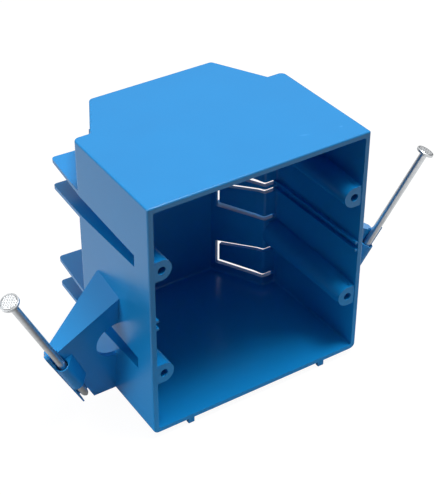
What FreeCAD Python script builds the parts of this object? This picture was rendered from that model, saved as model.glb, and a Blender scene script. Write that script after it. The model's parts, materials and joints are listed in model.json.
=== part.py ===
"""Two-gang nail-on outlet box of moulded plastic, with its two captive nails.

Millimetres. The box lies with its stud side down, as it would on a bench.
X runs along the two device screws of one gang, Y runs from the open rim into
the box, and Z runs up, away from the stud. The origin is the centre of the
four device screw holes, in the plane of the rim.
"""
import FreeCAD, Part
import os
import re

import Sketcher

SIZES = [
    # Device screws
    ("screw_spacing", 83.3, "between the two screws of one gang"),
    ("gang_pitch", 46.0, "between the two gangs"),
    ("screw_hole_radius", 1.6, "device screw hole"),
    ("boss_radius", 4.25, "screw boss at the rim"),
    ("boss_setback", 0.5, "boss face behind the rim"),
    # Shell
    ("screw_margin", 5.3, "screw centre to the outside of the side wall"),
    ("top_reach", 50.2, "screw centre to the top face"),
    ("stud_reach", 50.6, "screw centre to the stud face"),
    ("side_depth", 53.8, "depth of the full-width part"),
    ("total_depth", 75.7, "outside depth"),
    ("side_draft", 0.95, "inward draft of a side wall over its depth"),
    ("shelf_step", 7.2, "side wall to waist, across the shelf"),
    ("slant_run", 11.7, "waist to back wall, across"),
    ("wall", 2.2, "side, top and stud walls"),
    ("rear_wall", 2.0, "shelf, slanted and back walls"),
    ("shoulder_round", 2.5, "outer rear corners of the side walls"),
    ("back_round", 2.0, "outer corners of the back wall"),
    ("top_edge_round", 0.8, "long edges of the top face"),
    ("stud_edge_round", 2.4, "long edges of the stud face"),
    ("rim_round", 0.7, "outer edge of the rim"),
    ("cavity_corner_round", 1.6, "upright corners of the cavity"),
    ("cavity_edge_round", 1.0, "long edges of the cavity"),
    # Screw ridges inside, and the coring grooves behind them
    ("ridge_rear_radius", 6.6, "ridge at the shelf"),
    ("groove_start", 10.4, "front end of a groove behind the rim"),
    ("groove_front_width", 5.0, "groove width at its front end"),
    ("groove_back_width", 10.4, "groove width level with the back wall"),
    ("groove_depth", 7.9, "groove floor below the side wall"),
    ("groove_floor_round", 1.6, "rounded edges of the groove floor"),
    # Fins behind the grooves
    ("fin_thickness", 1.5, "fin thickness"),
    ("fin_tip_inset", 2.9, "fin tip inside the side wall at the rim"),
    ("fin_tip_beyond", 0.8, "fin tip behind the back wall"),
    ("fin_tip_round", 1.6, "rounded fin tip"),
    # Divider ribs
    ("divider_middle", 0.1, "divider slot above the screw centre"),
    ("divider_pitch", 3.5, "between the two ribs of a divider slot"),
    ("divider_thickness", 1.0, "rib thickness"),
    ("divider_height", 1.3, "rib height off the wall"),
    ("divider_setback", 0.2, "rib end behind the rim"),
    # Cable clamps
    ("clamp_middle", 0.25, "middle of the clamps above the screw centre"),
    ("clamp_height", 15.0, "window of one clamp"),
    ("clamp_inner_offset", 8.2, "centre of an inner clamp from their middle"),
    ("clamp_outer_offset", 37.4, "centre of an outer clamp from their middle"),
    ("clamp_reach", 21.5, "window along the slanted wall"),
    ("clamp_slot", 1.95, "slots above and below a clamp tab"),
    ("clamp_end_slot", 1.5, "slot at the free end of a tab"),
    ("clamp_taper", 10.5, "downward slope of a tab's upper edge, degrees"),
    ("clamp_hinge", 4.3, "window along the shelf beyond the waist"),
    ("clamp_step", 0.6, "tab set out from the slanted wall"),
    ("clamp_step_run", 3.2, "run over which the tab steps out"),
    ("waist_round", 1.6, "inner edges of the waist"),
    # Locating pips
    ("pip_offset", 30.3, "pip from the middle of the box"),
    ("pip_width", 2.6, "pip width"),
    ("pip_depth", 2.0, "pip depth behind the rim"),
    ("pip_length", 2.6, "pip below the stud face"),
    ("pip_round", 0.7, "rounded end of a pip"),
    # Nail brackets
    ("bracket_setback", 23.07, "bracket front at its top, behind the rim"),
    ("bracket_drop", 1.86, "bracket top corner below the screw centre"),
    ("bracket_tilt", 8.5, "backward lean of the bracket, degrees"),
    ("bracket_top_slope", 32.3, "downward slope of the bracket top, degrees"),
    ("bracket_wall", 2.0, "front and top plates"),
    ("bracket_root_depth", 16.4, "top plate at the side wall"),
    ("bracket_tip_depth", 5.8, "top plate at the near side of the nail"),
    ("bracket_tail", 3.5, "top plate's run past that, behind the nail"),
    ("bracket_tail_front", 1.2, "front of that run behind the bracket front"),
    ("bracket_rise", 1.15, "bracket foot above the stud face"),
    ("arch_radius", 8.4, "arch in the front plate, round the groove"),
    ("arch_drop", 20.95, "arch centre below the bracket top corner"),
    # Nail guides
    ("guide_foot_reach", 10.71, "nail axis at the guide foot, from the side wall"),
    ("guide_foot_drop", 47.9, "guide foot below the bracket top corner"),
    ("guide_foot_forward", 0.63, "nail axis at the foot in front of the bracket"),
    ("guide_splay", 25.9, "outward lean of the nail, degrees"),
    ("guide_lean", 1.5, "backward lean of the nail beyond the bracket's, degrees"),
    ("guide_clearance", 0.09, "between the nail and the hood bore"),
    ("guide_hood_foot", 14.0, "lower end of the hood above the guide foot"),
    ("guide_hood_length", 15.2, "hood length along the nail"),
    ("guide_hood_radius", 2.75, "nail axis to the outside of the hood"),
    ("guide_mouth_radius", 2.35, "flared mouth of the hood bore"),
    ("guide_mouth_depth", 5.0, "depth of that flare"),
    ("guide_shoulder", 3.3, "shoulder from the hood down to the front plate"),
    ("guide_channel_near", 1.78, "nail axis to the channel's inner side"),
    ("guide_channel_far", 2.15, "nail axis to the channel's outer side"),
    ("guide_floor_foot", 3.5, "lower end of the channel floor above the guide foot"),
    ("guide_channel_floor", 2.3, "channel floor behind the nail axis"),
    ("guide_wall", 1.2, "channel floor thickness"),
    ("guide_inner_wall", 2.0, "wall between channel and bracket hollow"),
    ("guide_lip_foot", 1.2, "lower end of the outer lip above the guide foot"),
    ("guide_lip_top", 37.6, "top of the outer lip above the guide foot"),
    ("guide_lip_foot_reach", 2.75, "nail axis to the outside of the lip at its foot"),
    ("guide_lip_top_reach", 3.4, "nail axis to the outside of the lip at its top"),
    ("guide_lip_forward", 0.1, "lip front in front of the nail axis"),
    ("guide_lip_round", 3.2, "rounded rear corner at the top of the lip"),
    # Nails
    ("nail_radius", 1.525, "shank"),
    ("nail_length", 74.1, "head face to point"),
    ("nail_left_standout", 77.7, "left head face above the guide foot"),
    ("nail_right_standout", 76.1, "right head face above the guide foot"),
    ("nail_head_radius", 3.57, "head"),
    ("nail_head_height", 1.1, "head thickness at its rim"),
    ("nail_head_edge", 0.2, "bevel round the head face"),
    ("nail_neck_radius", 2.3, "flare where the shank meets the head"),
    ("nail_neck_length", 0.8, "length of that flare"),
    ("nail_point_length", 4.6, "four-sided point"),
    ("nail_point_half", 0.3, "half width of the blunt tip"),
    # How far a cutting tool runs past what it cuts
    ("past", 4.0, "tool overrun"),
]

PARTS_FOLDER = "parts"
FEATURE_FAULTS = ("Invalid", "Error")
NEAR = 0.05
X_AXIS = FreeCAD.Vector(1, 0, 0)
Y_AXIS = FreeCAD.Vector(0, 1, 0)
Z_AXIS = FreeCAD.Vector(0, 0, 1)

# Each sketch plane: how the sketch lies in the part, and the axis square to it
PLANES = {
    "plan": (FreeCAD.Rotation(), Z_AXIS),
    "front": (FreeCAD.Rotation(X_AXIS, 90), Y_AXIS),
    "side": (FreeCAD.Rotation(FreeCAD.Vector(1, 1, 1), 120), X_AXIS),
}
SIDES = {"left": "-1", "right": "1"}
GANGS = {"lower": "-1", "upper": "1"}

doc = FreeCAD.newDocument("OutletBox")
sheet = doc.addObject("Spreadsheet::Sheet", "Sizes")
for row, (alias, size, note) in enumerate(SIZES, start=1):
    sheet.set("A%d" % row, note)
    sheet.set("B%d" % row, str(size))
    sheet.setAlias("B%d" % row, alias)
doc.recompute()
ALIAS = re.compile(r"\b(%s)\b" % "|".join(alias for alias, size, note in SIZES))


def sized(expression):
    """An expression in the sheet's names, as an object outside the sheet needs it."""
    return ALIAS.sub(r"Sizes.\1", expression)


def number(expression):
    """The present value of an expression in the sheet's names."""
    return float(sheet.evalExpression(sized(expression)))


def bind(feature, bindings):
    """Bind properties of a feature to expressions in the sheet's names."""
    for name, expression in bindings.items():
        feature.setExpression(name, sized(expression))
    return feature


def place(feature, position, axis="1; 0; 0", angle="0"):
    """Bind a feature's place to a position and a turn about an axis."""
    text = "placement(vector(%s); rotation(vector(%s); %s))" % ("; ".join(position), axis, angle)
    return bind(feature, {"Placement": text})


def pin(sketch, index, end, corner):
    """Bind one end of a sketch edge to a corner given as two expressions."""
    for kind, expression in zip(("DistanceX", "DistanceY"), corner):
        rule = sketch.addConstraint(Sketcher.Constraint(kind, index, end, number(expression)))
        bind(sketch, {"Constraints[%d]" % rule: expression})


def outline(name, plane, corners):
    """A closed sketch through corners given as pairs of expressions."""
    sketch = doc.addObject("Sketcher::SketchObject", name)
    sketch.Placement = FreeCAD.Placement(FreeCAD.Vector(), PLANES[plane][0])
    points = [FreeCAD.Vector(number(x), number(y), 0) for x, y in corners]
    for index, point in enumerate(points):
        following = points[(index + 1) % len(points)]
        sketch.addGeometry(Part.LineSegment(point, following), False)
    for index, corner in enumerate(corners):
        before = (index - 1) % len(corners)
        sketch.addConstraint(Sketcher.Constraint("Coincident", before, 2, index, 1))
        pin(sketch, index, 1, corner)
    return sketch


def prism(name, plane, corners, start, end):
    """An outline extruded square to its plane, between two distances from it."""
    solid = doc.addObject("Part::Extrusion", name)
    solid.Base = outline(name + "_outline", plane, corners)
    solid.DirMode = "Custom"
    solid.Dir = PLANES[plane][1]
    solid.Solid = True
    return bind(solid, {"LengthFwd": end, "LengthRev": "-(%s)" % start})


def rod(name, radius, height, position, axis="1; 0; 0", angle="0"):
    """A cylinder along Z, turned and placed."""
    cylinder = doc.addObject("Part::Cylinder", name)
    bind(cylinder, {"Radius": radius, "Height": height})
    return place(cylinder, position, axis, angle)


def joined(name, shapes):
    """Several shapes fused into one."""
    fusion = doc.addObject("Part::MultiFuse", name)
    fusion.Shapes = shapes
    fusion.Refine = True
    return fusion


def cut(name, base, tool):
    """A base with a tool cut out of it."""
    remainder = doc.addObject("Part::Cut", name)
    remainder.Base = base
    remainder.Tool = tool
    remainder.Refine = True
    return remainder


def common(name, shapes):
    """What several shapes share."""
    shared = doc.addObject("Part::MultiCommon", name)
    shared.Shapes = shapes
    return shared


def runs(edge, axis):
    """Whether a straight edge runs along an axis."""
    if not isinstance(edge.Curve, Part.Line):
        return False
    return abs(edge.Curve.Direction.dot(axis)) > 1 - NEAR


def lies(edge, x=None, y=None, z=None):
    """Whether the middle of an edge lies at the given coordinates."""
    middle = edge.BoundBox.Center
    wanted = ((middle.x, x), (middle.y, y), (middle.z, z))
    return all(place is None or abs(abs(value) - abs(place)) < NEAR for value, place in wanted)


def span(side, near, far):
    """The start and end along X of something between two reaches on one side."""
    if side == SIDES["left"]:
        return "-(%s)" % far, "-(%s)" % near
    return near, far


def rounded(name, base, picks):
    """Round the edges of a base that each test picks, with that test's radius."""
    doc.recompute()
    edges = []
    for index, edge in enumerate(base.Shape.Edges, start=1):
        radii = [number(radius) for picked, radius in picks if picked(edge)]
        if radii:
            edges.append((index, radii[0], radii[0]))
    fillet = doc.addObject("Part::Fillet", name)
    fillet.Base = base
    fillet.Edges = edges
    return fillet


# Shell
#
# The plan steps in at the waist and slants to the back wall. Offsetting the
# rear walls by their thickness moves each slanted corner along by SLANT_SHIFT.
RIM_HALF = "(screw_spacing / 2 + screw_margin)"
SIDE_HALF = "(%s - side_draft)" % RIM_HALF
WAIST_HALF = "(%s - shelf_step)" % SIDE_HALF
BACK_HALF = "(%s - slant_run)" % WAIST_HALF
SLANT_DEPTH = "(total_depth - side_depth)"
SLANT_TURN = "atan(%s / slant_run)" % SLANT_DEPTH
SLANT_SHIFT = "tan(%s / 2)" % SLANT_TURN


def both_sides(corners):
    """An outline given for the right side, closed round the left side too."""
    mirrored = [("-(%s)" % x, y) for x, y in reversed(corners)]
    return corners + mirrored


def shell_solid():
    """The outside of the box, with its edges rounded."""
    block = prism("shell_block", "plan", both_sides([
        (RIM_HALF, "0"),
        (SIDE_HALF, "side_depth"),
        (WAIST_HALF, "side_depth"),
        (BACK_HALF, "total_depth"),
    ]), "-stud_reach", "top_reach")
    side = number(SIDE_HALF)
    side_depth = number("side_depth")
    back = number(BACK_HALF)
    total_depth = number("total_depth")
    upright = rounded("shell_uprights", block, [
        (lambda e: runs(e, Z_AXIS) and lies(e, x=side, y=side_depth), "shoulder_round"),
        (lambda e: runs(e, Z_AXIS) and lies(e, x=back, y=total_depth), "back_round"),
    ])
    top = number("top_reach")
    stud = -number("stud_reach")

    def behind_rim(edge, height):
        box = edge.BoundBox
        flat = abs(box.ZMax - height) < NEAR and abs(box.ZMin - height) < NEAR
        return flat and box.YMax > NEAR

    edged = rounded("shell_edges", upright, [
        (lambda e: behind_rim(e, top), "top_edge_round"),
        (lambda e: behind_rim(e, stud), "stud_edge_round"),
    ])
    return rounded("shell_outside", edged, [
        (lambda e: e.BoundBox.YMax < NEAR, "rim_round"),
    ])


def cavity_solid():
    """The space inside the walls, open at the rim."""
    block = prism("cavity_block", "plan", both_sides([
        ("%s - wall" % RIM_HALF, "-past"),
        ("%s - wall" % RIM_HALF, "0"),
        ("%s - wall" % SIDE_HALF, "side_depth - rear_wall"),
        ("%s - rear_wall * %s" % (WAIST_HALF, SLANT_SHIFT), "side_depth - rear_wall"),
        ("%s - rear_wall * %s" % (BACK_HALF, SLANT_SHIFT), "total_depth - rear_wall"),
    ]), "-stud_reach + wall", "top_reach - wall")
    side = number("%s - wall" % SIDE_HALF)
    shelf = number("side_depth - rear_wall")
    waist = number("%s - rear_wall * %s" % (WAIST_HALF, SLANT_SHIFT))
    upright = rounded("cavity_uprights", block, [
        (lambda e: runs(e, Z_AXIS) and lies(e, x=side, y=shelf), "cavity_corner_round"),
        (lambda e: runs(e, Z_AXIS) and lies(e, x=waist, y=shelf), "waist_round"),
    ])
    top = number("top_reach - wall")
    stud = number("-stud_reach + wall")

    def inside(edge):
        box = edge.BoundBox
        flat = box.ZLength < NEAR and min(abs(box.ZMax - top), abs(box.ZMin - stud)) < NEAR
        return flat and box.YMax > -NEAR

    return rounded("cavity", upright, [(inside, "cavity_edge_round")])


# Cable clamps


def along_slant(side, distance, outward):
    """A plan point a distance along the slanted wall, and outward of it."""
    x = "%s - (%s) * cos(%s) + (%s) * sin(%s)" % (WAIST_HALF, distance, SLANT_TURN, outward, SLANT_TURN)
    y = "side_depth + (%s) * sin(%s) + (%s) * cos(%s)" % (distance, SLANT_TURN, outward, SLANT_TURN)
    return ("%s * (%s)" % (side, x), y)


def waist_corner(side, offset):
    """The waist's corner, moved outward square to both walls, in plan."""
    return ("%s * (%s + (%s) * %s)" % (side, WAIST_HALF, offset, SLANT_SHIFT),
            "side_depth + (%s)" % offset)


def clamp_window(side):
    """Plan of the window: along the shelf to the hinge, and along the slanted wall."""
    outer, inner = "past / 2", "-rear_wall - past / 2"
    hinge = "%s * (%s + clamp_hinge)" % (side, WAIST_HALF)
    return [
        (hinge, "side_depth + (%s)" % outer),
        waist_corner(side, outer),
        along_slant(side, "clamp_reach", outer),
        along_slant(side, "clamp_reach", inner),
        waist_corner(side, inner),
        (hinge, "side_depth + (%s)" % inner),
    ]


def clamp_tab(side):
    """Plan of the tab: it steps out past the waist, and stays parallel to the slanted wall."""
    outer, inner = "0", "-rear_wall"
    hinge = "%s * (%s + clamp_hinge + rear_wall / 2)" % (side, WAIST_HALF)
    reach = "clamp_reach - clamp_end_slot"
    return [
        (hinge, "side_depth + (%s)" % outer),
        waist_corner(side, outer),
        along_slant(side, "clamp_step_run", "(%s) + clamp_step" % outer),
        along_slant(side, reach, "(%s) + clamp_step" % outer),
        along_slant(side, reach, "(%s) + clamp_step" % inner),
        along_slant(side, "clamp_step_run", "(%s) + clamp_step" % inner),
        waist_corner(side, inner),
        (hinge, "side_depth + (%s)" % inner),
    ]


def clamp_profile(name, side, low, high):
    """Side view of a clamp between two heights: its upper edge falls behind the waist."""
    front = "side_depth - rear_wall - past"
    back = "total_depth + past"
    fall = "(%s + past) * tan(clamp_taper)" % SLANT_DEPTH
    return prism(name, "side", [
        (front, low),
        (back, low),
        (back, "%s - %s" % (high, fall)),
        ("side_depth", high),
        (front, high),
    ], *span(side, "%s - past" % BACK_HALF, RIM_HALF))


def clamp(name, side, centre):
    """One clamp: the window cut in the wall, and the tab that fills it but for its slots."""
    low = "%s - clamp_height / 2" % centre
    high = "%s + clamp_height / 2" % centre
    window = common(name + "_window", [
        prism(name + "_window_plan", "plan", clamp_window(side), low, high),
        clamp_profile(name + "_window_profile", side, low, high),
    ])
    block = prism(name + "_tab_block", "plan", clamp_tab(side), low, high)
    waist, shelf = [number(size) for size in waist_corner("1", "-rear_wall")]
    bent = rounded(name + "_tab_bent", block, [
        (lambda e: runs(e, Z_AXIS) and lies(e, x=waist, y=shelf), "waist_round"),
    ])
    tab = common(name + "_tab", [
        bent,
        clamp_profile(name + "_tab_profile", side, "%s + clamp_slot" % low, "%s - clamp_slot" % high),
    ])
    return window, tab


# Screw ridges, grooves and fins
GROOVE_FLOOR = "(%s - groove_depth)" % RIM_HALF
FIN_TIP_REACH = "(%s - fin_tip_inset)" % RIM_HALF


def screw_ridge(name, side, gang):
    """The boss at the rim and the widening ridge that runs back from it to the shelf.

    A cone whose inner side stays straight gives the round crest, and a wedge as
    wide as the cone carries it to the side wall.
    """
    length = "(side_depth - rear_wall / 2 - boss_setback)"
    growth = "(ridge_rear_radius - boss_radius)"
    height = "%s * gang_pitch / 2" % gang
    crest = doc.addObject("Part::Cone", name + "_crest")
    bind(crest, {"Radius1": "boss_radius", "Radius2": "ridge_rear_radius", "Height": length})
    bind(crest, {"Placement": (
        "placement(vector(%s * screw_spacing / 2; boss_setback; %s);"
        " rotation(vector(0; 0; 1); %s * -atan(%s / %s)))"
        " * placement(vector(0; 0; 0); rotation(vector(1; 0; 0); -90))"
        % (side, height, side, growth, length))})
    rear = "boss_setback + %s" % length
    web = prism(name + "_web", "side", [
        ("boss_setback", "%s - boss_radius" % height),
        (rear, "%s - ridge_rear_radius" % height),
        (rear, "%s + ridge_rear_radius" % height),
        ("boss_setback", "%s + boss_radius" % height),
    ], *span(side, "screw_spacing / 2 + %s / 2" % growth, "%s + past" % RIM_HALF))
    return [crest, web]


def groove_half(depth):
    """Half the width of a groove at a depth behind the rim."""
    return ("(groove_front_width / 2 + (groove_back_width - groove_front_width) / 2"
            " * (%s - groove_start) / (total_depth - groove_start))" % depth)


def groove(name, side, gang):
    """A groove in a side wall that widens from front to back, with a soft floor."""
    centre = "%s * gang_pitch / 2" % gang
    far = "total_depth + past"
    corners = [
        ("groove_start", "%s - %s" % (centre, groove_half("groove_start"))),
        (far, "%s - %s" % (centre, groove_half("(%s)" % far))),
        (far, "%s + %s" % (centre, groove_half("(%s)" % far))),
        ("groove_start", "%s + %s" % (centre, groove_half("groove_start"))),
    ]
    block = prism(name + "_block", "side", corners, *span(side, GROOVE_FLOOR, "%s + past" % RIM_HALF))
    floor = number(GROOVE_FLOOR)
    return rounded(name, block, [
        (lambda e: e.BoundBox.XLength < NEAR and e.BoundBox.YLength > 1
         and lies(e, x=floor), "groove_floor_round"),
    ])


def screw_hole(name, side, gang):
    """A device screw hole, from the boss face through to its groove."""
    position = ["%s * screw_spacing / 2" % side, "-past", "%s * gang_pitch / 2" % gang]
    return rod(name, "screw_hole_radius", "groove_start + 2 * past", position, "1; 0; 0", "-90")


def fin_plan(name, side):
    """The plan of the fins on one side, rounded at its tip."""
    block = prism(name + "_block", "plan", [
        ("%s * (%s - rear_wall / 2)" % (side, WAIST_HALF), "side_depth - rear_wall / 2"),
        ("%s * %s" % (side, SIDE_HALF), "side_depth - shoulder_round"),
        ("%s * %s" % (side, FIN_TIP_REACH), "total_depth + fin_tip_beyond"),
        ("%s * (%s - rear_wall / 2)" % (side, BACK_HALF), "total_depth"),
    ], "-top_reach", "top_reach")
    tip = number(FIN_TIP_REACH)
    depth = number("total_depth + fin_tip_beyond")
    return rounded(name, block, [
        (lambda e: runs(e, Z_AXIS) and lies(e, x=tip, y=depth), "fin_tip_round"),
    ])


def fin_strip(name, side, gang, edge):
    """A strip along one edge of a groove, a fin thick."""
    centre = "%s * gang_pitch / 2" % gang
    front = "(side_depth - shoulder_round - rear_wall)"
    back = "(total_depth + past)"
    inner = "%s + %s * %s" % (centre, edge, "%s")
    corners = [
        (front, inner % groove_half(front)),
        (back, inner % groove_half(back)),
        (back, inner % ("(%s + fin_thickness)" % groove_half(back))),
        (front, inner % ("(%s + fin_thickness)" % groove_half(front))),
    ]
    return prism(name, "side", corners, "-%s" % RIM_HALF, RIM_HALF)


# Small features of the moulding


def divider_rib(name, side, offset):
    """One rib of a divider slot, along the inside of a side wall."""
    centre = "(divider_middle + %s * divider_pitch / 2)" % offset
    plan = [
        ("%s - wall - divider_height" % RIM_HALF, "divider_setback"),
        ("%s - wall - divider_height" % SIDE_HALF, "side_depth - rear_wall / 2"),
        ("%s - wall / 2" % SIDE_HALF, "side_depth - rear_wall / 2"),
        ("%s - wall / 2" % RIM_HALF, "divider_setback"),
    ]
    corners = [("%s * (%s)" % (side, x), y) for x, y in plan]
    return prism(name, "plan", corners, "%s - divider_thickness / 2" % centre,
                 "%s + divider_thickness / 2" % centre)


def locating_pip(name, side):
    """A pip under the rim that sets the box flush on the stud's edge."""
    centre = "%s * pip_offset" % side
    low = "-stud_reach - pip_length"
    block = prism(name + "_block", "front", [
        ("%s - pip_width / 2" % centre, low),
        ("%s + pip_width / 2" % centre, low),
        ("%s + pip_width / 2" % centre, "-stud_reach + wall / 2"),
        ("%s - pip_width / 2" % centre, "-stud_reach + wall / 2"),
    ], "rim_round / 2", "pip_depth")
    bottom = number(low)
    return rounded(name, block, [
        (lambda e: e.BoundBox.ZLength < NEAR and lies(e, z=bottom), "pip_round"),
    ])


# Nail bracket and guide
#
# The bracket is drawn upright on the right side, from the corner where its top
# meets the side wall, and then leans back by bracket_tilt. Its guide is drawn
# along the nail, from the guide foot.
TOP_FALL = "tan(bracket_top_slope)"
SPLAY = "tan(guide_splay)"
CHANNEL_OFFSET = "guide_channel_near / cos(guide_splay)"
CHANNEL_AT_TOP = "(guide_foot_reach + guide_foot_drop * %s - %s)" % (SPLAY, CHANNEL_OFFSET)
TIP_DROP = "(%s * %s / (1 + %s * %s))" % (CHANNEL_AT_TOP, TOP_FALL, SPLAY, TOP_FALL)
TIP_REACH = "(%s + %s / %s)" % (RIM_HALF, TIP_DROP, TOP_FALL)
ROOT_REACH = "(%s - wall / 2)" % RIM_HALF
ROOT_RISE = "(wall / 2 * %s)" % TOP_FALL
FOOT_DROP = "(guide_foot_drop + 2 * past)"
FOOT_REACH = "(%s + guide_foot_reach - 2 * past * %s - %s)" % (RIM_HALF, SPLAY, CHANNEL_OFFSET)
PLATE_FALL = "bracket_wall / cos(bracket_top_slope)"
TAIL_REACH = "(%s + bracket_tail)" % TIP_REACH
TAIL_DROP = "(%s + bracket_tail * %s)" % (TIP_DROP, TOP_FALL)
TAIL_DEPTH = ("(bracket_tip_depth - bracket_tail * (bracket_root_depth - bracket_tip_depth)"
              " / (%s - %s))" % (TIP_REACH, RIM_HALF))


def bracket_plates():
    """The bracket's front plate, with its arch, and its sloping top plate."""
    front = prism("bracket_front", "front", [
        (ROOT_REACH, ROOT_RISE),
        (TIP_REACH, "-%s" % TIP_DROP),
        (FOOT_REACH, "-%s" % FOOT_DROP),
        (ROOT_REACH, "-%s" % FOOT_DROP),
    ], "0", "bracket_wall")
    arch = rod("bracket_arch", "arch_radius", "bracket_wall + 2 * past",
               [RIM_HALF, "-past", "-arch_drop"], "1; 0; 0", "-90")
    slope = prism("bracket_slope", "front", [
        (ROOT_REACH, ROOT_RISE),
        (TAIL_REACH, "-%s" % TAIL_DROP),
        (TAIL_REACH, "-%s - %s" % (TAIL_DROP, PLATE_FALL)),
        (ROOT_REACH, "%s - %s" % (ROOT_RISE, PLATE_FALL)),
    ], "0", "bracket_root_depth")
    plan = prism("bracket_plan", "plan", [
        (ROOT_REACH, "0"),
        (TIP_REACH, "0"),
        (TIP_REACH, "bracket_tail_front"),
        (TAIL_REACH, "bracket_tail_front"),
        (TAIL_REACH, TAIL_DEPTH),
        (RIM_HALF, "bracket_root_depth"),
        (ROOT_REACH, "bracket_root_depth"),
    ], "-%s - 2 * past" % TAIL_DROP, "past")
    return [cut("bracket_plate", front, arch), common("bracket_top", [slope, plan])]


def guide_frame(side):
    """Where a guide's foot lies in the box, and how its nail leans, as a placement."""
    return (
        "placement(vector(0; bracket_setback; -bracket_drop); rotation(vector(1; 0; 0); bracket_tilt))"
        " * placement(vector(%s * (%s + guide_foot_reach); -guide_foot_forward; -guide_foot_drop);"
        " rotation(vector(1; 0; 0); guide_lean))"
        " * placement(vector(0; 0; 0); rotation(vector(0; 1; 0); %s * guide_splay))"
        % (side, RIM_HALF, side))


def nail_guide():
    """The channel, lip and hood that hold a nail, drawn upright along the nail's axis."""
    tip_height = "((%s - %s - guide_foot_reach) * sin(guide_splay) + (guide_foot_drop - %s) * cos(guide_splay))"
    wall_top = tip_height % (TIP_REACH, RIM_HALF, TIP_DROP) + " - bracket_wall / 2"
    floor = "guide_channel_floor"
    back = "(guide_channel_floor + guide_wall)"
    inner = "(-guide_channel_near - guide_inner_wall)"
    plate = "guide_foot_forward + bracket_wall / 2"
    hood_top = "guide_hood_foot + guide_hood_length"
    wall = prism("guide_wall_inner", "plan", [
        (inner, plate),
        ("-guide_channel_near", plate),
        ("-guide_channel_near", back),
        (inner, back),
    ], "-2 * past", wall_top)
    channel = prism("guide_channel", "plan", [
        (inner, floor),
        ("guide_lip_foot_reach", floor),
        ("guide_lip_foot_reach", back),
        (inner, back),
    ], "guide_floor_foot", wall_top)
    lip = prism("guide_lip_block", "front", [
        ("guide_channel_far", "guide_lip_foot"),
        ("guide_lip_foot_reach", "guide_lip_foot"),
        ("guide_lip_top_reach", "guide_lip_top"),
        ("guide_channel_far", "guide_lip_top"),
    ], "-guide_lip_forward", back)
    top = number("guide_lip_top")
    rear = number(back)
    lip = rounded("guide_lip", lip, [
        (lambda e: runs(e, X_AXIS) and lies(e, y=rear, z=top), "guide_lip_round"),
    ])
    hood = rod("guide_hood_round", "guide_hood_radius", "guide_hood_length",
               ["0", "0", "guide_hood_foot"])
    chamfer = "-guide_hood_radius * cos(45)"
    seat = prism("guide_hood_seat", "plan", [
        (chamfer, chamfer),
        ("guide_hood_radius", "0"),
        ("guide_hood_radius", back),
        ("%s - guide_shoulder" % chamfer, back),
        ("%s - guide_shoulder" % chamfer, "%s + guide_shoulder" % chamfer),
    ], "guide_hood_foot", hood_top)
    bore = rod("guide_bore", "nail_radius + guide_clearance", "guide_hood_length + 2 * past",
               ["0", "0", "guide_hood_foot - past"])
    mouth = doc.addObject("Part::Cone", "guide_mouth")
    bind(mouth, {"Radius1": "nail_radius + guide_clearance", "Radius2": "guide_mouth_radius",
                 "Height": "guide_mouth_depth"})
    place(mouth, ["0", "0", "%s - guide_mouth_depth" % hood_top])
    solid = joined("guide_solid", [wall, channel, lip, hood, seat])
    guide = cut("nail_guide", solid, joined("guide_bores", [bore, mouth]))
    return bind(guide, {"Placement": guide_frame("1")})


def brackets():
    """The right bracket in its place, and its mirror image on the left."""
    plates = joined("bracket_plates", bracket_plates())
    place(plates, ["0", "bracket_setback", "-bracket_drop"], "1; 0; 0", "bracket_tilt")
    upright = joined("bracket_upright", [plates, nail_guide()])
    below = prism("bracket_trim", "front", [
        (ROOT_REACH, "-stud_reach + bracket_rise"),
        (ROOT_REACH, "-stud_reach - 6 * past"),
        ("2 * %s" % RIM_HALF, "-stud_reach - 6 * past"),
        ("2 * %s" % RIM_HALF, "-stud_reach + bracket_rise"),
    ], "0", "total_depth")
    right = cut("bracket_right", upright, below)
    left = doc.addObject("Part::Mirroring", "bracket_left")
    left.Source = right
    left.Base = FreeCAD.Vector()
    left.Normal = X_AXIS
    return [right, left]


def outlet_box():
    """The whole moulding."""
    shell = shell_solid()
    hollow = cut("shell", shell, cavity_solid())
    windows = []
    tabs = []
    ridges = []
    dividers = []
    grooves = []
    strips = []
    clamps = {"stud": "clamp_middle - clamp_outer_offset", "low": "clamp_middle - clamp_inner_offset",
              "high": "clamp_middle + clamp_inner_offset", "top": "clamp_middle + clamp_outer_offset"}
    for side_name, side in SIDES.items():
        for clamp_name, centre in clamps.items():
            window, tab = clamp("clamp_%s_%s" % (side_name, clamp_name), side, centre)
            windows.append(window)
            tabs.append(tab)
        for gang_name, gang in GANGS.items():
            place_name = "%s_%s" % (side_name, gang_name)
            ridges.extend(screw_ridge("ridge_" + place_name, side, gang))
            grooves.append(groove("groove_" + place_name, side, gang))
            grooves.append(screw_hole("screw_hole_" + place_name, side, gang))
            dividers.append(divider_rib("divider_" + place_name, side, gang))
    for gang_name, gang in GANGS.items():
        for edge_name, edge in GANGS.items():
            strips.append(fin_strip("fins_%s_%s" % (gang_name, edge_name), "1", gang, edge))
    fin_plans = joined("fin_plans", [fin_plan("fin_plan_" + name, side) for name, side in SIDES.items()])
    fins = common("fins", [joined("fin_strips", strips), fin_plans])
    windowed = cut("windowed_shell", hollow, joined("clamp_windows", windows))
    ridges_inside = common("screw_ridges", [joined("ridge_solids", ridges), shell])
    pips = [locating_pip("pip_" + name, side) for name, side in SIDES.items()]
    ribbed = joined("ribbed_shell", [windowed, ridges_inside] + tabs + dividers + pips)
    grooved = cut("grooved_shell", ribbed, joined("groove_tools", grooves))
    box = joined("outlet_box", [grooved, fins] + brackets())
    return box


# Nails


def origin_plane(body, role):
    """One of a body's own origin planes, by its role."""
    return [item for item in body.Origin.OriginFeatures if item.Role == role][0]


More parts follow.
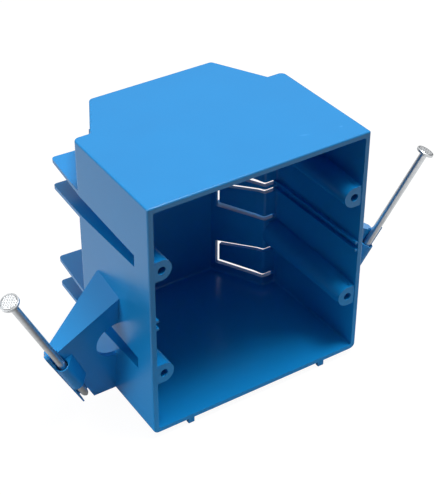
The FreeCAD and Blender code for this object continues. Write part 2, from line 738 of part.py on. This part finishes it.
def drawn(sketch, loops):
    """Closed loops of pinned corners drawn on a body's sketch."""
    for corners in loops:
        first = sketch.GeometryCount
        points = [FreeCAD.Vector(number(x), number(y), 0) for x, y in corners]
        for index, point in enumerate(points):
            following = points[(index + 1) % len(points)]
            sketch.addGeometry(Part.LineSegment(point, following), False)
        for index, corner in enumerate(corners):
            before = first + (index - 1) % len(corners)
            sketch.addConstraint(Sketcher.Constraint("Coincident", before, 2, first + index, 1))
            pin(sketch, first + index, 1, corner)


def body_sketch(body, name, role, loops):
    """A sketch on one of a body's origin planes."""
    sketch = body.newObject("Sketcher::SketchObject", name)
    sketch.AttachmentSupport = (origin_plane(body, role), [""])
    sketch.MapMode = "FlatFace"
    doc.recompute()
    drawn(sketch, loops)
    return sketch


def nail(name, side):
    """A round nail, turned about its axis and pointed by four flats, in its guide."""
    body = doc.addObject("PartDesign::Body", name)
    profile = body_sketch(body, name + "_profile", "XZ_Plane", [[
        ("0", "0"),
        ("nail_head_radius - nail_head_edge", "0"),
        ("nail_head_radius", "-nail_head_edge"),
        ("nail_head_radius", "-nail_head_height"),
        ("nail_neck_radius", "-nail_head_height"),
        ("nail_radius", "-nail_head_height - nail_neck_length"),
        ("nail_radius", "-nail_length"),
        ("0", "-nail_length"),
    ]])
    turned = body.newObject("PartDesign::Revolution", name + "_turned")
    turned.Profile = profile
    turned.ReferenceAxis = (profile, ["V_Axis"])
    turned.Angle = 360
    flats = [[
        ("%s * (nail_radius + nail_point_half)" % turn, "-nail_length + nail_point_length"),
        ("%s * nail_point_half" % turn, "-nail_length"),
        ("%s * nail_point_half" % turn, "-nail_length - past"),
        ("%s * (nail_radius + nail_point_half)" % turn, "-nail_length - past"),
    ] for turn in SIDES.values()]
    for role in ("XZ_Plane", "YZ_Plane"):
        sketch = body_sketch(body, "%s_flats_%s" % (name, role[:2].lower()), role, flats)
        pocket = body.newObject("PartDesign::Pocket", "%s_point_%s" % (name, role[:2].lower()))
        pocket.Profile = sketch
        pocket.Type = "ThroughAll"
        pocket.Midplane = True
    body.Label = name
    standing = " * placement(vector(0; 0; %s_standout); rotation(vector(1; 0; 0); 0))" % name
    return bind(body, {"Placement": guide_frame(side) + standing})


nodes = [outlet_box()]
for side_name, side in SIDES.items():
    nodes.append(nail("nail_" + side_name, side))
doc.recompute()

for feature in doc.Objects:
    if any(fault in feature.State for fault in FEATURE_FAULTS):
        raise RuntimeError("%s did not compute: %s" % (feature.Name, feature.State))
for node in nodes:
    if node.Shape.isNull() or not node.Shape.isValid():
        raise RuntimeError("%s has no valid shape" % node.Label)

os.makedirs(PARTS_FOLDER, exist_ok=True)
for node in nodes:
    node.Shape.exportStep(os.path.join(PARTS_FOLDER, node.Label + ".step"))
    print(node.Label, "solids", len(node.Shape.Solids), "volume %.1f" % node.Shape.Volume)
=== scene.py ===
"""Two-gang nail-on outlet box lying on a pale floor, as the photograph shows it."""

import json
import math

import bmesh
import bpy
from mathutils import Matrix, Vector


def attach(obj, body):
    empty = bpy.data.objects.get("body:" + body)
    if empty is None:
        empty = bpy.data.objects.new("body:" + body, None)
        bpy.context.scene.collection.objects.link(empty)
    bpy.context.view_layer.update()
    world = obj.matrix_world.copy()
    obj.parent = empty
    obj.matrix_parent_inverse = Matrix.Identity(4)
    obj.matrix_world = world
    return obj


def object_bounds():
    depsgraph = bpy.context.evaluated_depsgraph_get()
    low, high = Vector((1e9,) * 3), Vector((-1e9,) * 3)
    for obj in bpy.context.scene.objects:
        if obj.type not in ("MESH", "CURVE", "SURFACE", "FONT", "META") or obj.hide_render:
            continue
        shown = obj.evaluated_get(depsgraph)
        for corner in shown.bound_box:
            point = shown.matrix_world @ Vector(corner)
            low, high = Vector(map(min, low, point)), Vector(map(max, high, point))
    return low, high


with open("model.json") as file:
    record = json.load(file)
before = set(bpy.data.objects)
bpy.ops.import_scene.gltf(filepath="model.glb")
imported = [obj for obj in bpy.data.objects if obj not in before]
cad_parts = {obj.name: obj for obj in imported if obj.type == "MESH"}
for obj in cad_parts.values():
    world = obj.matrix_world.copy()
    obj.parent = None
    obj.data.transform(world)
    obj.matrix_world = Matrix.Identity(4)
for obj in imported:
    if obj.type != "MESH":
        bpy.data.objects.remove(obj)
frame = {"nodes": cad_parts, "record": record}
cad_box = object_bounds()

MM = 0.001

# Camera, solved from the box's own edges
AZIMUTH = math.radians(-33.256)
ELEVATION = math.radians(35.642)
ROLL = math.radians(0.202)
DISTANCE = 506.11 * MM
SIDE_SHIFT = 15.954 * MM
RISE_SHIFT = -13.730 * MM
FOCAL_LENGTH = 100.75
SENSOR = 36.0
CLIP_START = 10 * MM

# Lamps: name, place in metres, width and power
LAMPS = (
    ("key", (0.25, -0.1, 1.15), 0.4, 10.6),
    ("side", (-1.1, 0.3, 0.3), 0.5, 6.0),
)
LAMP_TARGET = (0, 0.03, 0)

# Sky that lights the object: dim up to a direction's height SKY_LOW, bright from SKY_HIGH
SKY_LOW = 0.58
SKY_HIGH = 1.0
SKY_DIM = 0.0
SKY_BRIGHT = 1.1

# Sky as the gloss shows it, in the same terms
GLOSS_LOW = 0.1
GLOSS_HIGH = 0.75
GLOSS_DIM = 0.2
GLOSS_BRIGHT = 1.0

# Floor as the camera sees it: a glow, and a little grey that takes the object's shadow
FLOOR_HALF = 3.0
FLOOR_GREY = (0.06, 0.06, 0.06)
FLOOR_ROUGHNESS = 0.8
FLOOR_GLOW = 0.95

# Floor as the gloss shows it: a glow with a painted shadow around the object, dim up to FLOOR_NEAR metres
# out, pale from FLOOR_FAR
FLOOR_NEAR = 0.07
FLOOR_FAR = 0.14
FLOOR_PAINTED_SHADOW = 0.14
FLOOR_PALE = 0.85

# Share of light that the floor throws back, up to BOUNCE_START metres out and from BOUNCE_END
BOUNCE_START = 0.08
BOUNCE_END = 0.16
BOUNCE_NEAR = 0.85
BOUNCE_FAR = 0.03

# Crossed ridges stamped into the tops of the nail heads
STAMP_RADIUS = 3.15 * MM
STAMP_PITCH = 0.95 * MM
STAMP_HEIGHT = 0.13 * MM
STAMP_SINK = 0.3 * MM
STAMP_RINGS = 24
STAMP_SEGMENTS = 96
STAMP_EDGE = 0.85
TOP_FACE_DEPTH = 0.02 * MM

# Colours, linear
BLUE = (0.006, 0.262, 0.65)
BLUE_DEEP = (0.006, 0.252, 0.63)
ZINC = (0.79, 0.81, 0.83)
ZINC_DARK = (0.69, 0.72, 0.74)
SCUFFED = (0.06, 0.38, 0.82)
WHITE = (1.0, 1.0, 1.0)

# Plastic: clouds in the colour, an uneven sheen, a fine grain and a wide ripple
CLOUD_SCALE = 38.0
CLOUD_DETAIL = 4.0
CLOUD_START = 0.35
CLOUD_END = 0.68
SHEEN_SCALE = 120.0
SHEEN_DETAIL = 5.0
SHEEN_SMOOTH = 0.22
SHEEN_ROUGH = 0.27
GRAIN_SCALE = 2600.0
GRAIN_DEPTH = 0.01 * MM
GRAIN_STRENGTH = 0.1
RIPPLE_SCALE = 55.0
RIPPLE_DEPTH = 0.1 * MM
RIPPLE_STRENGTH = 0.15
RELIEF_DETAIL = 2.0
PLASTIC_IOR = 1.49

# Scuffs on the top face: middle, half length, half width and turn
SCUFFS = (
    ((39.66 * MM, 8.48 * MM, 50.2 * MM), 1.0 * MM, 0.7 * MM, math.radians(0)),
    ((24.94 * MM, 10.75 * MM, 50.2 * MM), 2.4 * MM, 0.6 * MM, math.radians(-20)),
)
SCUFF_DEPTH = 1.0 * MM
SCUFF_STRENGTH = 0.55

# Zinc: dull spots, an uneven polish and a faint relief
ZINC_DETAIL = 3.0
SPOT_SCALE = 600.0
SPOT_START = 0.3
SPOT_END = 0.6
POLISH_SCALE = 500.0
POLISH_SMOOTH = 0.3
POLISH_ROUGH = 0.38
COAT_SCALE = 1800.0
COAT_DEPTH = 0.01 * MM
COAT_STRENGTH = 0.2

# Sockets that Blender tells apart only by their number
BLEND_FACTOR = 0
BLEND_FROM = 6
BLEND_TO = 7
BLEND_RESULT = 2
ADD_FIRST = 0
ADD_SECOND = 1
MIX_REST = 1
MIX_SHOWN = 2


def camera():
    """The photograph's viewpoint, as directions and a place in the box's frame."""
    back = Vector((math.sin(AZIMUTH) * math.cos(ELEVATION),
                   -math.cos(AZIMUTH) * math.cos(ELEVATION),
                   math.sin(ELEVATION)))
    level = Vector((math.cos(AZIMUTH), math.sin(AZIMUTH), 0))
    rise = level.cross(-back)
    right = math.cos(ROLL) * level + math.sin(ROLL) * rise
    up = math.cos(ROLL) * rise - math.sin(ROLL) * level
    data = bpy.data.cameras.new("camera")
    data.sensor_width = SENSOR
    data.lens = FOCAL_LENGTH
    data.clip_start = CLIP_START
    eye = bpy.data.objects.new("camera", data)
    turn = Matrix((right, up, back)).transposed().to_4x4()
    place = back * DISTANCE - right * SIDE_SHIFT - up * RISE_SHIFT
    eye.matrix_world = Matrix.Translation(place) @ turn
    bpy.context.scene.collection.objects.link(eye)
    bpy.context.scene.camera = eye


def opaque(colour):
    """The colour with full alpha, as a socket takes it."""
    return colour + (1.0,)


class Nodes:
    """The node tree of a material or a world, with short calls to add and join nodes."""

    def __init__(self, owner):
        owner.use_nodes = True
        self.owner = owner
        self.tree = owner.node_tree

    def add(self, kind, **settings):
        node = self.tree.nodes.new(kind)
        for name, value in settings.items():
            setattr(node, name, value)
        return node

    def link(self, out, into):
        self.tree.links.new(out, into)

    def place(self):
        """Object coordinates, in metres."""
        return self.add("ShaderNodeTexCoord").outputs["Object"]

    def length(self, vector):
        node = self.add("ShaderNodeVectorMath", operation="LENGTH")
        self.link(vector, node.inputs["Vector"])
        return node.outputs["Value"]

    def noise(self, scale, detail):
        node = self.add("ShaderNodeTexNoise")
        node.inputs["Scale"].default_value = scale
        node.inputs["Detail"].default_value = detail
        self.link(self.place(), node.inputs["Vector"])
        return node.outputs["Fac"]

    def ramp(self, fac, *stops):
        """One colour to another, each with its position."""
        node = self.add("ShaderNodeValToRGB")
        for element, (position, colour) in zip(node.color_ramp.elements, stops):
            element.position = position
            element.color = opaque(colour)
        self.link(fac, node.inputs["Fac"])
        return node.outputs["Color"]

    def span(self, fac, low, high):
        """A value of 0 to 1, spread evenly from low to high."""
        node = self.add("ShaderNodeMapRange")
        node.inputs["To Min"].default_value = low
        node.inputs["To Max"].default_value = high
        self.link(fac, node.inputs["Value"])
        return node.outputs["Result"]

    def eased(self, value, start, end, low, high):
        """Low up to start and high from end, with a smooth step between them."""
        node = self.add("ShaderNodeMapRange", interpolation_type="SMOOTHSTEP")
        node.inputs["From Min"].default_value = start
        node.inputs["From Max"].default_value = end
        node.inputs["To Min"].default_value = low
        node.inputs["To Max"].default_value = high
        self.link(value, node.inputs["Value"])
        return node.outputs["Result"]

    def bump(self, height, distance, strength, normal=None):
        node = self.add("ShaderNodeBump")
        node.inputs["Distance"].default_value = distance
        node.inputs["Strength"].default_value = strength
        self.link(height, node.inputs["Height"])
        if normal:
            self.link(normal, node.inputs["Normal"])
        return node.outputs["Normal"]

    def by_path(self, kind, shown, rest):
        """One shader for rays of this kind, and another for all the rest."""
        path = self.add("ShaderNodeLightPath")
        mix = self.add("ShaderNodeMixShader")
        self.link(path.outputs[kind], mix.inputs["Fac"])
        self.link(rest, mix.inputs[MIX_REST])
        self.link(shown, mix.inputs[MIX_SHOWN])
        return mix.outputs["Shader"]


def scuffed(nodes, colour):
    """The colour, with a paler mark that fades outward at each scuff."""
    for middle, half_length, half_width, turn in SCUFFS:
        local = nodes.add("ShaderNodeMapping", vector_type="TEXTURE")
        local.inputs["Location"].default_value = middle
        local.inputs["Rotation"].default_value = (0, 0, turn)
        local.inputs["Scale"].default_value = (half_length, half_width, SCUFF_DEPTH)
        nodes.link(nodes.place(), local.inputs["Vector"])
        strength = nodes.span(nodes.length(local.outputs["Vector"]), SCUFF_STRENGTH, 0)
        blend = nodes.add("ShaderNodeMix", data_type="RGBA")
        nodes.link(strength, blend.inputs[BLEND_FACTOR])
        nodes.link(colour, blend.inputs[BLEND_FROM])
        blend.inputs[BLEND_TO].default_value = opaque(SCUFFED)
        colour = blend.outputs[BLEND_RESULT]
    return colour


def moulded_plastic():
    """Satin blue plastic: faint clouding from the mould, a fine surface grain and the scuffs."""
    nodes = Nodes(bpy.data.materials.new("moulded_plastic"))
    shader = nodes.tree.nodes["Principled BSDF"]
    cloud = nodes.noise(CLOUD_SCALE, CLOUD_DETAIL)
    colour = scuffed(nodes, nodes.ramp(cloud, (CLOUD_START, BLUE_DEEP), (CLOUD_END, BLUE)))
    nodes.link(colour, shader.inputs["Base Color"])
    sheen = nodes.span(nodes.noise(SHEEN_SCALE, SHEEN_DETAIL), SHEEN_SMOOTH, SHEEN_ROUGH)
    nodes.link(sheen, shader.inputs["Roughness"])
    grain = nodes.bump(nodes.noise(GRAIN_SCALE, RELIEF_DETAIL), GRAIN_DEPTH, GRAIN_STRENGTH)
    ripple = nodes.bump(nodes.noise(RIPPLE_SCALE, RELIEF_DETAIL), RIPPLE_DEPTH, RIPPLE_STRENGTH, grain)
    nodes.link(ripple, shader.inputs["Normal"])
    shader.inputs["IOR"].default_value = PLASTIC_IOR
    return nodes.owner


def zinc():
    """Bright zinc on steel wire: small dull spots, and a polish that is not quite even."""
    nodes = Nodes(bpy.data.materials.new("zinc_coated_steel"))
    shader = nodes.tree.nodes["Principled BSDF"]
    spots = nodes.noise(SPOT_SCALE, ZINC_DETAIL)
    colour = nodes.ramp(spots, (SPOT_START, ZINC_DARK), (SPOT_END, ZINC))
    nodes.link(colour, shader.inputs["Base Color"])
    shader.inputs["Metallic"].default_value = 1.0
    polish = nodes.span(nodes.noise(POLISH_SCALE, ZINC_DETAIL), POLISH_SMOOTH, POLISH_ROUGH)
    nodes.link(polish, shader.inputs["Roughness"])
    relief = nodes.bump(nodes.noise(COAT_SCALE, ZINC_DETAIL), COAT_DEPTH, COAT_STRENGTH)
    nodes.link(relief, shader.inputs["Normal"])
    return nodes.owner


def dress(node, material):
    """The material on every slot of a CAD node."""
    for slot in frame["nodes"][node].material_slots:
        slot.material = material


def stamp_mesh(name, point_at):
    """A disc of crossed ridges, with a skirt and a base below it, as one closed solid."""
    turns = [2 * math.pi * segment / STAMP_SEGMENTS for segment in range(STAMP_SEGMENTS)]
    points = [point_at(0, 0, 0)]
    for ring in range(1, STAMP_RINGS + 1):
        radius = STAMP_RADIUS * ring / STAMP_RINGS
        height = STAMP_HEIGHT if ring < STAMP_RINGS * STAMP_EDGE else 0
        for turn in turns:
            x = radius * math.cos(turn)
            y = radius * math.sin(turn)
            ridge = abs(math.sin(math.pi * x / STAMP_PITCH) * math.sin(math.pi * y / STAMP_PITCH))
            points.append(point_at(x, y, height * ridge))
    for turn in turns:
        points.append(point_at(STAMP_RADIUS * math.cos(turn), STAMP_RADIUS * math.sin(turn), -STAMP_SINK))
    faces = []
    for segment in range(STAMP_SEGMENTS):
        after = (segment + 1) % STAMP_SEGMENTS
        faces.append((0, 1 + after, 1 + segment))
        for ring in range(STAMP_RINGS):
            inner = 1 + ring * STAMP_SEGMENTS
            outer = inner + STAMP_SEGMENTS
            faces.append((inner + segment, inner + after, outer + after, outer + segment))
    base = 1 + STAMP_RINGS * STAMP_SEGMENTS
    faces.append(tuple(range(base, base + STAMP_SEGMENTS)))
    mesh = bpy.data.meshes.new(name)
    mesh.from_pydata(points, [], faces)
    solid = bmesh.new()
    solid.from_mesh(mesh)
    bmesh.ops.recalc_face_normals(solid, faces=solid.faces)
    solid.to_mesh(mesh)
    solid.free()
    return mesh


def stamp(node, body, material):
    """Crossed ridges on a nail's head, from the head's own top face and the nail's slide axis."""
    joint = next(j for j in frame["record"]["behaviour"]["joints"] if j["child"] == body)
    down = Vector(joint["axis"]).normalized()
    corners = [vertex.co for vertex in frame["nodes"][node].data.vertices]
    top = min(corner.dot(down) for corner in corners)
    face = [corner for corner in corners if corner.dot(down) < top + TOP_FACE_DEPTH]
    centre = sum(face, Vector()) / len(face)
    across = down.orthogonal().normalized()
    along = down.cross(across)

    def point_at(x, y, height):
        return centre + across * x + along * y - down * height

    mesh = stamp_mesh(node + "_stamp", point_at)
    mesh.materials.append(material)
    piece = bpy.data.objects.new(node + "_stamp", mesh)
    bpy.context.scene.collection.objects.link(piece)
    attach(piece, body)


def lamp(name, place, width, power):
    """A soft square lamp that faces the object."""
    data = bpy.data.lights.new(name, "AREA")
    data.size = width
    data.energy = power
    light = bpy.data.objects.new(name, data)
    light.location = place
    aim = Vector(LAMP_TARGET) - Vector(place)
    light.rotation_euler = aim.to_track_quat("-Z", "Y").to_euler()
    bpy.context.scene.collection.objects.link(light)


def studio_world():
    """Soft light, strongest from overhead, with plain white seen behind the object."""
    world = bpy.data.worlds.new("studio")
    bpy.context.scene.world = world
    nodes = Nodes(world)
    split = nodes.add("ShaderNodeSeparateXYZ")
    nodes.link(nodes.add("ShaderNodeTexCoord").outputs["Generated"], split.inputs["Vector"])

    def graded(low, high, dim, bright):
        sky = nodes.add("ShaderNodeBackground")
        sky.inputs["Color"].default_value = opaque(WHITE)
        nodes.link(nodes.eased(split.outputs["Z"], low, high, dim, bright), sky.inputs["Strength"])
        return sky.outputs["Background"]

    lit = graded(SKY_LOW, SKY_HIGH, SKY_DIM, SKY_BRIGHT)
    mirrored = graded(GLOSS_LOW, GLOSS_HIGH, GLOSS_DIM, GLOSS_BRIGHT)
    plain = nodes.tree.nodes["Background"]
    plain.inputs["Color"].default_value = opaque(WHITE)
    plain.inputs["Strength"].default_value = 1.0
    reflected = nodes.by_path("Is Glossy Ray", mirrored, lit)
    surface = nodes.by_path("Is Camera Ray", plain.outputs["Background"], reflected)
    nodes.link(surface, nodes.tree.nodes["World Output"].inputs["Surface"])


def floor_material():
    """White to the camera. To the gloss it is a glow with a painted shadow, dim near the object and pale
    further out. To other light it is graded outward from the object.
    """
    nodes = Nodes(bpy.data.materials.new("floor_white"))
    shader = nodes.tree.nodes["Principled BSDF"]
    shader.inputs["Base Color"].default_value = opaque(FLOOR_GREY)
    shader.inputs["Roughness"].default_value = FLOOR_ROUGHNESS
    glow = nodes.add("ShaderNodeEmission")
    glow.inputs["Strength"].default_value = FLOOR_GLOW
    seen = nodes.add("ShaderNodeAddShader")
    nodes.link(shader.outputs["BSDF"], seen.inputs[ADD_FIRST])
    nodes.link(glow.outputs["Emission"], seen.inputs[ADD_SECOND])
    distance = nodes.length(nodes.place())
    # The glow that the gloss sees is dimmed near the object: a painted shadow, not a lit one
    mirrored = nodes.add("ShaderNodeEmission")
    painted_shadow_glow = nodes.eased(distance, FLOOR_NEAR, FLOOR_FAR, FLOOR_PAINTED_SHADOW, FLOOR_PALE)
    nodes.link(painted_shadow_glow, mirrored.inputs["Strength"])
    bounce = nodes.add("ShaderNodeBsdfDiffuse")
    share = nodes.eased(distance, BOUNCE_START, BOUNCE_END, BOUNCE_NEAR, BOUNCE_FAR)
    nodes.link(share, bounce.inputs["Color"])
    lit = nodes.by_path("Is Glossy Ray", mirrored.outputs["Emission"], bounce.outputs["BSDF"])
    surface = nodes.by_path("Is Camera Ray", seen.outputs["Shader"], lit)
    nodes.link(surface, nodes.tree.nodes["Material Output"].inputs["Surface"])
    return nodes.owner


def floor():
    """A wide white floor under the pips. The object's shadow stays on it, faintly."""
    low, _ = cad_box
    half = FLOOR_HALF
    corners = [(-half, -half, low.z), (half, -half, low.z), (half, half, low.z), (-half, half, low.z)]
    mesh = bpy.data.meshes.new("floor")
    mesh.from_pydata(corners, [], [(0, 1, 2, 3)])
    mesh.materials.append(floor_material())
    plane = bpy.data.objects.new("floor", mesh)
    bpy.context.scene.collection.objects.link(plane)


bpy.context.scene.view_settings.view_transform = "Standard"
camera()
studio_world()
floor()
plastic = moulded_plastic()
steel = zinc()
dress("outlet_box", plastic)
dress("nail_left", steel)
dress("nail_right", steel)
stamp("nail_left", "left_nail", steel)
stamp("nail_right", "right_nail", steel)
for name, place, width, power in LAMPS:
    lamp(name, place, width, power)
